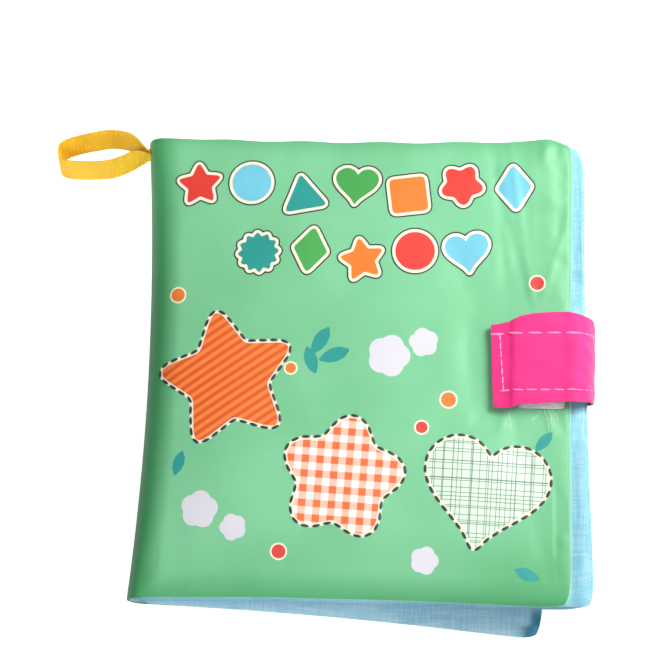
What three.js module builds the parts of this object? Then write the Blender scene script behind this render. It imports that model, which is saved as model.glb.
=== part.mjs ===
// A soft crinkle book for a baby, closed and lying on its back cover.
// Six padded panels (two covers and four leaves) are sewn together along the spine.
// A strap from the back cover closes over the front, and a ribbon loop is sewn to the spine.
// +X runs from the spine to the fore edge, +Y to the head of the book, +Z out of the front cover.
// The origin is the middle of the flat underside. All lengths are millimetres.

import * as THREE from "three";

// Driving dimensions of the book
const coverWidth = 148;
const coverHeight = 165;
const panelThickness = 3.4;
const seamThickness = 2.1;
const clothThickness = 0.45;
const panelGap = 0.4;
const foreEdgeX = 74.5;

// The spine, where the cloth bulges out round the folds
const spineBulge = 4.6;
const spineClothThickness = 0.6;
const foldThickness = 1.1;
const foldClearance = 0.35;
const hingeClearance = 1;
const joinClearance = 0.3;

// Shape of a padded panel
const spineCrownShare = 0.8;
const crownPower = 5;
const headDrawIn = 1.2;
const foreDrawIn = 1.1;
const spineDrawIn = 3.6;
const cornerPull = 1.8;
const cornerPower = 18;
const puckerHeight = 0.55;
const puckersAcross = 7;
const puckersUp = 8;
const puckerPower = 3;

// How far the leaves creep out past the cover, and how far the lower panels are turned
const leafCreep = 7;
const skewDrop = 10;
const skewBack = 13.2;

// Inside a panel
const wadFilmThickness = 0.3;
const insideClearance = 0.18;
const wadInset = 6;

// Closing strap
const strapWidth = 30;
const strapMiddleY = 2.5;
const strapClothThickness = 0.6;
const strapPlyGap = 0.3;
const strapTabReach = 27.4;
const strapFoldRadius = 3;
const strapBend = 2;
const strapEdgeClearance = 1.2;
const strapRootClearance = 2;
const strapCut = 0.35;

// Hook and loop pads
const padWidth = 16;
const padLength = 25.7;
const padThickness = 1;
const padFromFore = 17.5;
const padDrop = 3.35;
const padClearance = 0.3;
const hookInset = 1.6;

// Ribbon loop at the head of the spine
const ribbonHeight = 8.2;
const ribbonLean = 4.4;
const ribbonThickness = 0.6;
const ribbonReach = 34.5;
const ribbonGap = 12.6;
const ribbonFromHead = 3.4;
const ribbonRootGap = 1.8;
const ribbonRootHeight = 12.5;
const ribbonSwellShare = 0.5;

// Fineness of the soft forms, in steps across and up
const coverSteps = [20, 20];
const liningSteps = [10, 10];
const leafSteps = [10, 10];
const wadSteps = [6, 6];
const foldSteps = [14, 8];
const padSteps = [6, 6];
const ribbonSteps = 44;
const strapSteps = 24;

const panelPitch = panelThickness + panelGap;
const halfHeight = coverHeight / 2;
const spineX = foreEdgeX - coverWidth + hingeClearance / 2;

// Panels from the table up. Creep shares push the fore edge out at its head and its foot,
// drop shares lower its two corners, and the back share draws the foot corner back.
const panels = [
  { name: "back_cover", creepShares: [0, 0], dropShares: [0.6, 0.93], backShare: 0.85 },
  { name: "leaf_4", creepShares: [0.35, 0.2], dropShares: [0.55, 1], backShare: 0.95 },
  { name: "leaf_3", creepShares: [0.5, 1.05], dropShares: [0.1, 0], backShare: 0 },
  { name: "leaf_2", creepShares: [0.65, 1.4], dropShares: [0.08, 0], backShare: 0 },
  { name: "leaf_1", creepShares: [0.5, 1.2], dropShares: [0.04, 0], backShare: 0 },
  { name: "front_cover", creepShares: [0, 0.2], dropShares: [0, 0.05], backShare: 0 },
];
panels.forEach((panel, level) => {
  panel.level = level;
});
const totalThickness = panels.length * panelPitch - panelGap;

// Finishes
const finishes = {
  satin: { color: 0x8fd8a4, roughness: 0.42, metalness: 0 },
  lining: { color: 0xa6e3f2, roughness: 0.85, metalness: 0 },
  leaf_cloth: { color: 0x8fc4dc, roughness: 0.88, metalness: 0 },
  wadding: { color: 0xf4f2ec, roughness: 0.95, metalness: 0 },
  film: { color: 0xd8dde0, roughness: 0.25, metalness: 0 },
  strap_cloth: { color: 0xff3c96, roughness: 0.7, metalness: 0 },
  hook_tape: { color: 0xf3f3f0, roughness: 0.8, metalness: 0 },
  ribbon: { color: 0xebaf1e, roughness: 0.6, metalness: 0 },
};

const book = new THREE.Group();

function addPiece(name, geometry, finish) {
  const piece = new THREE.Mesh(geometry, new THREE.MeshStandardMaterial(finishes[finish]));
  piece.name = name;
  book.add(piece);
  return piece;
}

// A closed sheet between an upper and a lower surface, both given over the unit square.
// Steps crowd together at the edges, where a padded panel curves most.
function crowded(index, steps) {
  return (1 - Math.cos((Math.PI * index) / steps)) / 2;
}

function evenly(index, steps) {
  return index / steps;
}

function sheetSolid([across, up], upper, lower, spacing = crowded) {
  const positions = [];
  for (const surface of [upper, lower]) {
    for (let j = 0; j <= up; j += 1) {
      for (let i = 0; i <= across; i += 1) {
        positions.push(...surface(spacing(i, across), spacing(j, up)));
      }
    }
  }
  const layer = (across + 1) * (up + 1);
  const at = (i, j) => j * (across + 1) + i;
  const faces = [];
  const quad = (a, b, c, d) => faces.push(a, b, c, a, c, d);
  for (let j = 0; j < up; j += 1) {
    for (let i = 0; i < across; i += 1) {
      quad(at(i, j), at(i + 1, j), at(i + 1, j + 1), at(i, j + 1));
      quad(layer + at(i, j), layer + at(i, j + 1), layer + at(i + 1, j + 1), layer + at(i + 1, j));
    }
  }
  const wall = (a, b) => quad(a, layer + a, layer + b, b);
  for (let i = 0; i < across; i += 1) {
    wall(at(i, 0), at(i + 1, 0));
    wall(at(i + 1, up), at(i, up));
  }
  for (let j = 0; j < up; j += 1) {
    wall(at(across, j), at(across, j + 1));
    wall(at(0, j + 1), at(0, j));
  }
  const geometry = new THREE.BufferGeometry();
  geometry.setAttribute("position", new THREE.Float32BufferAttribute(positions, 3));
  geometry.setIndex(faces);
  geometry.computeVertexNormals();
  return geometry;
}

const mix = THREE.MathUtils.lerp;

// How far the spine is drawn in at a share v of the height, most in the middle
function drawnIn(v) {
  return spineDrawIn * (1 - (2 * v - 1) ** 2);
}

// Plan of a panel: u runs from the spine to the fore edge, v from the foot to the head
function foreCorner(panel, end) {
  const isHead = end === "head";
  const index = isHead ? 0 : 1;
  const back = isHead ? 0 : panel.backShare * skewBack;
  return [
    foreEdgeX + panel.creepShares[index] * leafCreep - back,
    (isHead ? halfHeight : -halfHeight) - panel.dropShares[index] * skewDrop,
  ];
}

function panelPlan(panel, u, v) {
  const [footX, footY] = foreCorner(panel, "foot");
  const [headX, headY] = foreCorner(panel, "head");
  const s = 2 * u - 1;
  const t = 2 * v - 1;
  const spineY = mix(-halfHeight, halfHeight, v);
  const startX = spineX + hingeClearance;
  let x = mix(startX, mix(footX, headX, v), u);
  let y = mix(spineY, mix(footY, headY, v), u);
  y -= headDrawIn * t * (1 - s * s);
  x -= foreDrawIn * (1 - t * t) * u ** crownPower;
  x += drawnIn(v) * (1 - u) ** crownPower;
  const corner = cornerPull * Math.max(s, 0) ** cornerPower * Math.abs(t) ** cornerPower;
  x -= corner;
  y -= Math.sign(t) * corner;
  return [x, y];
}

// Where a panel's fore edge lies at a height y
function foreReach(panel, y) {
  const v = (y + halfHeight) / coverHeight;
  return panelPlan(panel, 1, v)[0];
}

// Crown of a panel, from 0 at a sewn edge to 1 in the middle
function crown(u, v) {
  const fromSpine = 1 - (1 - spineCrownShare) * (1 - u) ** crownPower;
  const alongWidth = fromSpine * (1 - u ** crownPower);
  const alongHeight = 1 - Math.abs(2 * v - 1) ** crownPower;
  return alongWidth * alongHeight;
}

// Puckers where the stitching gathers the cloth, raised and only near the sewn edges
function pucker(u, v) {
  const nearEnds = Math.abs(2 * v - 1) ** puckerPower * Math.cos(2 * Math.PI * puckersAcross * u) ** 2;
  const nearFore = u ** (puckerPower * crownPower) * Math.cos(Math.PI * puckersUp * v) ** 2;
  const rim = (1 - Math.abs(2 * v - 1) ** cornerPower) * (1 - u ** (cornerPower * crownPower));
  return Math.min((nearEnds + nearFore) * rim, 1 - crown(u, v)) * puckerHeight;
}

function panelHeights(panel, u, v) {
  const swell = (panelThickness - seamThickness) * crown(u, v);
  const base = panel.level * panelPitch;
  if (panel.level === 0) {
    return { low: base, high: base + seamThickness + swell };
  }
  const middle = base + panelThickness / 2;
  const half = (seamThickness + swell) / 2;
  return { low: middle - half, high: middle + half };
}

// Layers of a panel: two cloths sewn at their edges, with wadding and crinkle film between
function upperCloth(panel, steps, puckered) {
  const top = (u, v) => {
    const rise = puckered ? pucker(u, v) * ((panelThickness - seamThickness) / panelThickness) : 0;
    return panelHeights(panel, u, v).high + rise;
  };
  return sheetSolid(
    steps,
    (u, v) => [...panelPlan(panel, u, v), top(u, v)],
    (u, v) => [...panelPlan(panel, u, v), top(u, v) - clothThickness],
  );
}

function lowerCloth(panel, steps) {
  return sheetSolid(
    steps,
    (u, v) => [...panelPlan(panel, u, v), panelHeights(panel, u, v).low + clothThickness],
    (u, v) => [...panelPlan(panel, u, v), panelHeights(panel, u, v).low],
  );
}

function filling(panel, u, v) {
  const { low, high } = panelHeights(panel, u, v);
  const skin = clothThickness + insideClearance;
  const filmTop = high - skin;
  const filmFoot = filmTop - wadFilmThickness;
  return { filmTop, filmFoot, wadTop: filmFoot - insideClearance, wadFoot: low + skin };
}

function insetPlan(u, v) {
  const insetU = wadInset / coverWidth;
  const insetV = wadInset / coverHeight;
  return [mix(insetU, 1 - insetU, u), mix(insetV, 1 - insetV, v)];
}

function fillingSheet(panel, upperKey, lowerKey) {
  const surface = (key) => (u, v) => {
    const [pu, pv] = insetPlan(u, v);
    return [...panelPlan(panel, pu, pv), filling(panel, pu, pv)[key]];
  };
  return sheetSolid(wadSteps, surface(upperKey), surface(lowerKey));
}

function addPanelFilling(panel) {
  addPiece(`${panel.name}_wadding`, fillingSheet(panel, "wadTop", "wadFoot"), "wadding");
  addPiece(`${panel.name}_crinkle_film`, fillingSheet(panel, "filmTop", "filmFoot"), "film");
}

// Covers: satin outside, blue lining inside
const [backCover, leaf4, leaf3, leaf2, leaf1, frontCover] = panels;
const leaves = [leaf4, leaf3, leaf2, leaf1];

addPiece("front_cover_outer", upperCloth(frontCover, coverSteps, true), "satin");
addPiece("front_cover_lining", lowerCloth(frontCover, liningSteps), "lining");
addPanelFilling(frontCover);
addPiece("back_cover_outer", lowerCloth(backCover, liningSteps), "satin");
addPiece("back_cover_lining", upperCloth(backCover, liningSteps, false), "lining");
addPanelFilling(backCover);

// Leaves: two printed cloths with the same filling
for (const leaf of leaves) {
  addPiece(`${leaf.name}_front_cloth`, upperCloth(leaf, leafSteps, false), "leaf_cloth");
  addPiece(`${leaf.name}_back_cloth`, lowerCloth(leaf, leafSteps), "leaf_cloth");
  addPanelFilling(leaf);
}

// Folds round the spine. Each bends from the edge of a lower panel round to an upper one.
function spineFold(lowHeight, highHeight, bulge, thickness) {
  const surface = (inward) => (u, v) => {
    const y = mix(-halfHeight, halfHeight, v);
    const low = lowHeight(v) + inward;
    const high = highHeight(v) - inward;
    const angle = Math.PI * (u - 1 / 2);
    const startX = spineX + hingeClearance - joinClearance + drawnIn(v);
    const depth = bulge + hingeClearance - joinClearance - inward;
    const x = startX - depth * Math.cos(angle);
    const z = (low + high) / 2 + ((high - low) / 2) * Math.sin(angle);
    return [x, y, z];
  };
  return sheetSolid(foldSteps, surface(0), surface(thickness), evenly);
}

const spineEdge = (panel, v) => panelHeights(panel, 0, v);
addPiece(
  "spine_cloth",
  spineFold(() => 0, (v) => spineEdge(frontCover, v).high, spineBulge, spineClothThickness),
  "satin",
);

const foldPairs = [
  { name: "outer_spread_fold", lower: leaf4, upper: leaf1, depth: 0 },
  { name: "inner_spread_fold", lower: leaf3, upper: leaf2, depth: 1 },
];
for (const pair of foldPairs) {
  const inside = spineClothThickness + foldClearance + pair.depth * (foldThickness + foldClearance);
  const middle = (panel, v) => (spineEdge(panel, v).low + spineEdge(panel, v).high) / 2;
  const geometry = spineFold(
    (v) => middle(pair.lower, v) - foldThickness / 2,
    (v) => middle(pair.upper, v) + foldThickness / 2,
    spineBulge - inside,
    foldThickness,
  );
  addPiece(pair.name, geometry, "leaf_cloth");
}

// A flat or curved strip: a path in X and Z is its inner face, and it runs along Y
function strip(path, thickness, width, middleY, steps) {
  const curve = new THREE.SplineCurve(path.map(([x, z]) => new THREE.Vector2(x, z)));
  const side = (offset) => {
    const points = [];
    for (let i = 0; i <= steps; i += 1) {
      const share = i / steps;
      const along = curve.getTangent(share);
      const outward = new THREE.Vector2(along.y, -along.x);
      points.push(curve.getPoint(share).addScaledVector(outward, offset));
    }
    return points;
  };
  const outline = [...side(0), ...side(thickness).reverse()];
  const geometry = new THREE.ExtrudeGeometry(new THREE.Shape(outline), { depth: width, bevelEnabled: false });
  geometry.rotateX(Math.PI / 2);
  geometry.translate(0, middleY + width / 2, 0);
  return geometry;
}

// Height of the front cover's satin at a place on it, for what lies on it
function coverTop(x, y) {
  const v = (y + halfHeight) / coverHeight;
  const start = panelPlan(frontCover, 0, v)[0];
  const u = (x - start) / (panelPlan(frontCover, 1, v)[0] - start);
  return panelHeights(frontCover, u, v).high;
}

// Loop pad on the cover and hook pad under the strap, both following the cover's crown
const padMiddleX = foreEdgeX - padFromFore + padWidth / 2;
const padMiddleY = strapMiddleY - padDrop;

function coverPad(width, length, lift) {
  const surface = (height) => (u, v) => {
    const x = padMiddleX + mix(-width, width, u) / 2;
    const y = padMiddleY + mix(-length, length, v) / 2;
    return [x, y, coverTop(x, y) + padClearance + lift + height];
  };
  return sheetSolid(padSteps, surface(padThickness), surface(0), evenly);
}

const padStep = padThickness + padClearance;
addPiece("loop_pad", coverPad(padWidth, padLength, 0), "hook_tape");
addPiece("hook_pad", coverPad(padWidth - hookInset, padLength - hookInset, padStep), "hook_tape");

// Strap: root in the back cover's seam, side up the fore edge, tab over the front cover
const foreMost = Math.max(...leaves.map((leaf) => foreReach(leaf, strapMiddleY - strapWidth / 2)));
const strapSideX = foreMost + strapEdgeClearance;
const backForeX = foreReach(backCover, strapMiddleY);
const frontForeX = foreReach(frontCover, strapMiddleY);
const rootZ = (seamThickness + strapClothThickness) / 2;
const sideFootZ = rootZ + strapPlyGap;
const foldTopZ = totalThickness + 2 * padStep + padClearance;
const tabEndX = foreEdgeX - strapTabReach;
const strapRootLength = wadInset - strapRootClearance;
const strapMiddleZ = (sideFootZ + foldTopZ) / 2;

const sidePath = [
  [strapSideX - strapBend, sideFootZ],
  [strapSideX - strapBend / 4, sideFootZ + strapBend / 4],
  [strapSideX, sideFootZ + strapBend],
  [strapSideX, strapMiddleZ],
  [strapSideX - strapPlyGap, foldTopZ - 2 * strapFoldRadius],
  [strapSideX - strapFoldRadius / 2, foldTopZ - strapFoldRadius / 2],
  [strapSideX - 2 * strapFoldRadius, foldTopZ],
];
const tabPath = [
  [strapSideX - 2 * strapFoldRadius - strapCut, foldTopZ],
  [frontForeX - strapFoldRadius, foldTopZ],
  [padMiddleX, foldTopZ + strapPlyGap / 2],
  [padMiddleX - padWidth / 2, foldTopZ],
  [padMiddleX - padWidth / 2 - strapFoldRadius, foldTopZ - padStep],
  [tabEndX, coverTop(tabEndX, strapMiddleY) + padClearance + puckerHeight],
];
const outerPly = strapClothThickness + strapPlyGap;

function offsetPath(path, offset) {
  const curve = new THREE.SplineCurve(path.map(([x, z]) => new THREE.Vector2(x, z)));
  return path.map((point, index) => {
    const along = curve.getTangent(index / (path.length - 1));
    return [point[0] + along.y * offset, point[1] - along.x * offset];
  });
}

addPiece(
  "strap_root",
  strip(
    [[backForeX - strapRootLength, rootZ], [strapSideX - strapBend - strapCut, rootZ]],
    strapClothThickness,
    strapWidth,
    strapMiddleY,
    1,
  ),
  "strap_cloth",
);
const strapParts = [
  { name: "strap_side_lining", path: sidePath, offset: 0, width: strapWidth },
  { name: "strap_side_outer", path: sidePath, offset: outerPly, width: strapWidth },
  { name: "strap_tab_lining", path: tabPath, offset: 0, width: strapWidth },
  { name: "strap_tab_outer", path: tabPath, offset: outerPly, width: strapWidth },
];
for (const part of strapParts) {
  const path = part.offset === 0 ? part.path : offsetPath(part.path, part.offset);
  const thickness = strapClothThickness;
  addPiece(part.name, strip(path, thickness, part.width, strapMiddleY, strapSteps), "strap_cloth");
}

// Ribbon loop: a teardrop seen from above, its walls leaning to the head, its tip on the table
const ribbonY = halfHeight - ribbonFromHead;
const ribbonRootX = spineX + drawnIn(1 - ribbonFromHead / coverHeight) - spineBulge - joinClearance;
const ribbonTipX = ribbonRootX - ribbonReach;

function ribbonOutline(inward) {
  const half = ribbonGap / 2 - inward;
  const rootHalf = ribbonRootGap / 2 - inward;
  const reach = ribbonReach - inward;
  const points = [];
  for (let i = 0; i <= ribbonSteps; i += 1) {
    const angle = Math.PI * (i / ribbonSteps);
    const along = Math.sin(angle);
    const across = Math.cos(angle);
    const swell = Math.sin((Math.PI / 2) * Math.min(along / ribbonSwellShare, 1));
    const aside = mix(rootHalf, half, swell) * Math.sign(across) * Math.abs(across) ** (1 / 2);
    points.push(new THREE.Vector2(ribbonRootX - reach * along, ribbonY + aside));
  }
  return points;
}

function ribbonLoop() {
  const outline = [...ribbonOutline(0), ...ribbonOutline(ribbonThickness).reverse()];
  const geometry = new THREE.ExtrudeGeometry(new THREE.Shape(outline), {
    depth: ribbonHeight,
    bevelEnabled: false,
  });
  const positions = geometry.attributes.position;
  for (let i = 0; i < positions.count; i += 1) {
    const up = positions.getZ(i);
    const rise = ((positions.getX(i) - ribbonTipX) / ribbonReach) * ribbonRootHeight;
    positions.setY(i, positions.getY(i) + (up * ribbonLean) / ribbonHeight - ribbonLean / 2);
    positions.setZ(i, up + Math.max(rise, 0));
  }
  return geometry;
}

addPiece("ribbon_loop", ribbonLoop(), "ribbon");

export default book;
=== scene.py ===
# %% [markdown]
# # Sewing a crinkle book in Blender
# A crinkle book is a small padded cloth book for a baby. This one has a green satin cover, four
# pale blue leaves, a pink strap that closes it and a yellow ribbon loop at the spine.
# The solids of the CAD model give every place and size. Blender gives the cloth its folds,
# weave, print and stitches. The first cell loads the solids and keeps their box.

# %% Load the frame
import bpy
import math
import numpy as np
from mathutils import Matrix, Vector
from mathutils.bvhtree import BVHTree


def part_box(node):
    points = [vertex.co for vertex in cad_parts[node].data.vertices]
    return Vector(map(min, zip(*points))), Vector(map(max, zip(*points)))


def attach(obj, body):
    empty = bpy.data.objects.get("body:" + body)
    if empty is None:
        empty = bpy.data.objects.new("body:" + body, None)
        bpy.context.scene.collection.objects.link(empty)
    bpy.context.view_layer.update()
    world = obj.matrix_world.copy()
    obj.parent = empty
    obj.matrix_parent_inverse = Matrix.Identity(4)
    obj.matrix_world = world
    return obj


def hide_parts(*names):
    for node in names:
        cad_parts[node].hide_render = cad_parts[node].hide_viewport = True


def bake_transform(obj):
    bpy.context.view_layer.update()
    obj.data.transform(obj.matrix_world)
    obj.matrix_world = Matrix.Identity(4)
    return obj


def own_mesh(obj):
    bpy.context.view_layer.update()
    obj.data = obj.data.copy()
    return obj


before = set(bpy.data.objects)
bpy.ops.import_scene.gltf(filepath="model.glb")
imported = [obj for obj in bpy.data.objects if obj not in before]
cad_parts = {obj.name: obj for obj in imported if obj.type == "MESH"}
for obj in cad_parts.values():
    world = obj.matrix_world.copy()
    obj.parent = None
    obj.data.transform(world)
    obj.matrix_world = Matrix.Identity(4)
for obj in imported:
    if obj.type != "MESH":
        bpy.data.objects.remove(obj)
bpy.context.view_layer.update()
MM = 0.001

# %% [markdown]
# ## The camera
# The photograph looks down on the book from about 12 degrees off the plumb line, a little from the
# foot and from the fore edge. Its foot is slightly wider in the picture than its head, which gives
# the distance. The book lies turned by less than a degree, so the camera's axes are set by hand
# from the book's own, because a tracking constraint would turn the picture much further.

# %% Camera
PICTURE_SIDE = 661
PIXELS_PER_MM = 2.86
CAMERA_DISTANCE = 0.85
LOOK_AT = Vector((-8.8, 12.2, 22.0)) * MM
LEAN_FORE, LEAN_FOOT, ROLL = 0.087, 0.23, math.radians(0.8)


def aim_camera(look_at, lean_fore, lean_foot, distance):
    back = Vector((lean_fore, -lean_foot, 1)).normalized()
    level = (Vector((1, 0, 0)) - back * back.x).normalized()
    right = level * math.cos(ROLL) + back.cross(level) * math.sin(ROLL)
    up = back.cross(right)
    turn = Matrix((right, up, back)).transposed().to_4x4()
    camera = bpy.data.objects.new("photo_camera", bpy.data.cameras.new("photo_camera"))
    camera.data.lens = PIXELS_PER_MM / MM * distance * camera.data.sensor_width / PICTURE_SIDE
    camera.matrix_world = Matrix.Translation(look_at + back * distance) @ turn
    scene.collection.objects.link(camera)
    return camera


scene = bpy.context.scene
scene.camera = aim_camera(LOOK_AT, LEAN_FORE, LEAN_FOOT, CAMERA_DISTANCE)
scene.view_settings.view_transform = "Standard"
print("lens", round(scene.camera.data.lens, 1), "mm")

# %% [markdown]
# ## Helpers for nodes
# The finishes, the world, the floor and the stitches are all trees of nodes. One helper makes a
# node, sets it and feeds its inputs, each with a constant or with another node's output. Colours
# are read from the photograph as screen values, so they are turned into linear ones.

# %% Helpers for nodes and colours
def feed(tree, socket, value):
    """Links a socket to another, or sets it to a constant."""
    if isinstance(value, bpy.types.NodeSocket):
        tree.links.new(value, socket)
    else:
        socket.default_value = value


def add_node(tree, kind, inputs=None, **settings):
    """Makes a node, sets its settings and feeds its inputs."""
    node = tree.nodes.new(kind)
    for key, value in settings.items():
        setattr(node, key, value)
    for key, value in (inputs or {}).items():
        feed(tree, node.inputs[key], value)
    return node


def maths(tree, operation, *values, clamp=False):
    inputs = dict(enumerate(values))
    return add_node(tree, "ShaderNodeMath", inputs, operation=operation, use_clamp=clamp).outputs[0]


def times(tree, first, second):
    return maths(tree, "MULTIPLY", first, second)


def blend_colours(tree, share, first, second):
    colours = {0: share, 6: first, 7: second}
    return add_node(tree, "ShaderNodeMix", colours, data_type="RGBA").outputs[2]


def axes(tree, place):
    return add_node(tree, "ShaderNodeSeparateXYZ", {0: place}).outputs


def dyed(red, green, blue):
    """A screen colour as linear values."""
    parts = [c / 255 for c in (red, green, blue)]
    return tuple(c / 12.92 if c <= 0.04045 else ((c + 0.055) / 1.055) ** 2.4 for c in parts) + (1,)


print("middle grey is", [round(c, 3) for c in dyed(128, 128, 128)])

# %% [markdown]
# ## Light
# Satin shows its shape by broad soft highlights, so the light is one large lamp on the fore-edge
# side, close enough that the spine side falls off darker. A weaker one hangs nearly overhead, and
# the world fills the rest. Two small narrow lamps stand for the white table's bounce on the ribbon
# and on the leaf that shows at the foot. The camera sees the world as plain white.

# %% Lamps and world
ROOM_LIGHT = 0.22


def soft_lamp(name, place, target, side, power, tint=(1, 1, 1), spread=180):
    lamp = bpy.data.lights.new(name, "AREA")
    lamp.shape = "DISK"
    lamp.size, lamp.energy, lamp.color, lamp.spread = side, power, tint, math.radians(spread)
    holder = bpy.data.objects.new(name, lamp)
    aim = (Vector(target) - Vector(place)).to_track_quat("-Z", "Y")
    holder.matrix_world = Matrix.Translation(place) @ aim.to_matrix().to_4x4()
    scene.collection.objects.link(holder)


def pale_room():
    """A world that lights softly but looks plain white to the camera."""
    world = bpy.data.worlds.new("pale_room")
    world.use_nodes = True
    tree = world.node_tree
    seen = add_node(tree, "ShaderNodeLightPath").outputs["Is Camera Ray"]
    strength = add_node(tree, "ShaderNodeMix", {"Factor": seen, "A": ROOM_LIGHT, "B": 1}, data_type="FLOAT")
    sky = tree.nodes["Background"].inputs
    feed(tree, sky["Strength"], strength.outputs["Result"])
    feed(tree, sky["Color"], (1, 1, 1, 1))
    return world


soft_lamp("window_lamp", (0.36, 0.2, 0.38), (0.02, 0, 0), 0.3, 3.7, (1, 0.99, 0.97))
soft_lamp("fill_lamp", (0.06, -0.16, 0.8), (0, -0.03, 0), 0.5, 1.15, (0.97, 0.99, 1))
soft_lamp("ribbon_card", (-0.23, -0.03, 0.11), (-0.1, 0.08, 0.01), 0.06, 0.009, spread=32)
soft_lamp("foot_card", (-0.04, -0.34, 0.09), (-0.03, -0.09, 0.002), 0.2, 0.055, spread=40)
scene.world = pale_room()


# %% [markdown]
# ## Weave, dye and yarn
# Three groups of nodes serve every cloth: the crossing threads of a weave, with a shade value that
# paints the hollows between them darker and varies at random, the slow, uneven tone of dyed cloth,
# and the long thin streaks that uneven yarn leaves both ways, as in linen.

# %% Node groups
YARNS_PER_METRE, STREAKS_PER_METRE = 1100, 110


def group(name, inputs, outputs):
    """A node group, its inputs and its outputs. Sockets are given as label: kind."""
    tree = bpy.data.node_groups.new(name, "ShaderNodeTree")
    for way, sockets in (("INPUT", inputs), ("OUTPUT", outputs)):
        for label, kind in sockets.items():
            tree.interface.new_socket(label, in_out=way, socket_type=f"NodeSocket{kind}")
    return tree, tree.nodes.new("NodeGroupInput").outputs, tree.nodes.new("NodeGroupOutput").inputs


def noise_at(tree, place, scale, detail):
    return add_node(tree, "ShaderNodeTexNoise", {"Vector": place, "Scale": scale, "Detail": detail}).outputs[0]


def stretched(tree, value, low, high):
    """Carries a value between low and high to between 0 and 1."""
    return add_node(tree, "ShaderNodeMapRange", {0: value, "From Min": low, "From Max": high}).outputs[0]


def make_weave():
    inputs = {"Place": "Vector", "Spacing": "Float", "Slub": "Float"}
    tree, given, made = group("woven_threads", inputs, {"Height": "Float", "Shade": "Float"})
    noise = noise_at(tree, given["Place"], 420, 2)
    turn = maths(tree, "DIVIDE", math.pi, given["Spacing"])
    wander = times(tree, times(tree, noise, given["Slub"]), 5)
    ridges = []
    for part in axes(tree, given["Place"])[:2]:
        angle = maths(tree, "ADD", times(tree, part, turn), wander)
        ridges.append(maths(tree, "ABSOLUTE", maths(tree, "SINE", angle)))
    height = times(tree, *ridges)
    feed(tree, made["Height"], height)
    # Shade is lowest in the hollows between threads, where the cloths paint shade, and varies at random with the
    # noise.
    feed(tree, made["Shade"], maths(tree, "ADD", times(tree, height, 0.5), times(tree, noise, 0.5)))
    return tree


def make_dye():
    inputs = {"Place": "Vector", "Patch": "Float", "Pale": "Color", "Deep": "Color"}
    tree, given, made = group("uneven_dye", inputs, {"Color": "Color", "Share": "Float"})
    share = stretched(tree, noise_at(tree, given["Place"], given["Patch"], 4), 0.3, 0.7)
    feed(tree, made["Share"], share)
    feed(tree, made["Color"], blend_colours(tree, share, given["Deep"], given["Pale"]))
    return tree


def make_streaks():
    tree, given, made = group("yarn_streaks", {"Place": "Vector"}, {"Share": "Float"})
    parts = axes(tree, given["Place"])
    shares = []
    for across, along in ((0, 1), (1, 0)):
        fine, long = times(tree, parts[across], YARNS_PER_METRE), times(tree, parts[along], STREAKS_PER_METRE)
        spot = add_node(tree, "ShaderNodeCombineXYZ", {0: fine, 1: long})
        shares.append(noise_at(tree, spot.outputs[0], 1, 1))
    feed(tree, made["Share"], stretched(tree, maths(tree, "ADD", *shares), 0.86, 1.2))
    return tree


WEAVE, DYE, STREAKS = make_weave(), make_dye(), make_streaks()
print("groups", WEAVE.name, DYE.name, STREAKS.name)


# %% [markdown]
# ## Cloth finishes
# One recipe makes every cloth. It takes the dye's pale and deep tones, the thread spacing and how
# rough and how fuzzy the cloth is. Satin has long floats, so it is smooth and its threads hardly
# show. The leaves are plain weave, dull, with slubs. The strap is a close plain weave.
# Where the satin turns away at the spine and the seams, the photograph shows it deeper and richer
# than light alone would, so shade is painted there: the pieces carry an attribute that says where,
# and their colour darkens by it.

# %% The cloth recipe
def new_material(name):
    material = bpy.data.materials.new(name)
    material.use_nodes = True
    return material, material.node_tree


def own_place(tree):
    return add_node(tree, "ShaderNodeTexCoord").outputs["Object"]


def paint(tree, **values):
    """Feeds the inputs of a material's shader, their names written with underscores."""
    shader = tree.nodes["Principled BSDF"]
    for label, value in values.items():
        feed(tree, shader.inputs[label.replace("_", " ")], value)


def bumped(tree, height, strength, distance):
    inputs = {"Height": height, "Strength": strength, "Distance": distance}
    return add_node(tree, "ShaderNodeBump", inputs).outputs[0]


def cloth(name, pale, deep, spacing, roughness, bump, slub, patch, sheen, thread, streak=0, gloss=0.5):
    """patch is the dye's patches per metre, thread how dark the painted shade in the hollows is, streak how pale
    the yarns.
    """
    material, tree = new_material(name)
    place = own_place(tree)
    inputs = {"Place": place, "Patch": patch, "Pale": pale, "Deep": deep}
    dye = add_node(tree, "ShaderNodeGroup", inputs, node_tree=DYE).outputs
    inputs = {"Place": place, "Spacing": spacing, "Slub": slub}
    weave = add_node(tree, "ShaderNodeGroup", inputs, node_tree=WEAVE).outputs
    # Painted shade: the weave's hollows, and random spots of its noise, are darkened by thread.
    darker = tuple(c * (1 - 3 * thread) for c in deep[:3]) + (1,)
    hollow_painted_shade = maths(tree, "SUBTRACT", 1, weave["Shade"])
    share = maths(tree, "MULTIPLY", hollow_painted_shade, min(4 * thread, 1), clamp=True)
    colour = blend_colours(tree, share, dye["Color"], darker)
    if streak:
        yarn = add_node(tree, "ShaderNodeGroup", {"Place": place}, node_tree=STREAKS).outputs[0]
        bright = tuple(0.5 * c + 0.5 for c in pale[:3]) + (1,)
        colour = blend_colours(tree, times(tree, yarn, streak), colour, bright)
    wear = maths(tree, "ADD", times(tree, dye["Share"], -0.08), roughness)
    relief = bumped(tree, weave["Height"], bump, 0.0002)
    paint(tree, Base_Color=colour, Roughness=wear, Normal=relief)
    paint(tree, Sheen_Weight=sheen, Sheen_Roughness=0.4, Specular_IOR_Level=gloss)
    return material


def add_painted_shade(material, dye):
    """Paints shade: where the piece's shade attribute is 1, its colour becomes the given darker one."""
    tree = material.node_tree
    painted_shade = add_node(tree, "ShaderNodeAttribute", attribute_name="painted_shade").outputs["Fac"]
    colour = tree.nodes["Principled BSDF"].inputs["Base Color"].links[0].from_socket
    paint(tree, Base_Color=blend_colours(tree, painted_shade, colour, dye))


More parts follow.
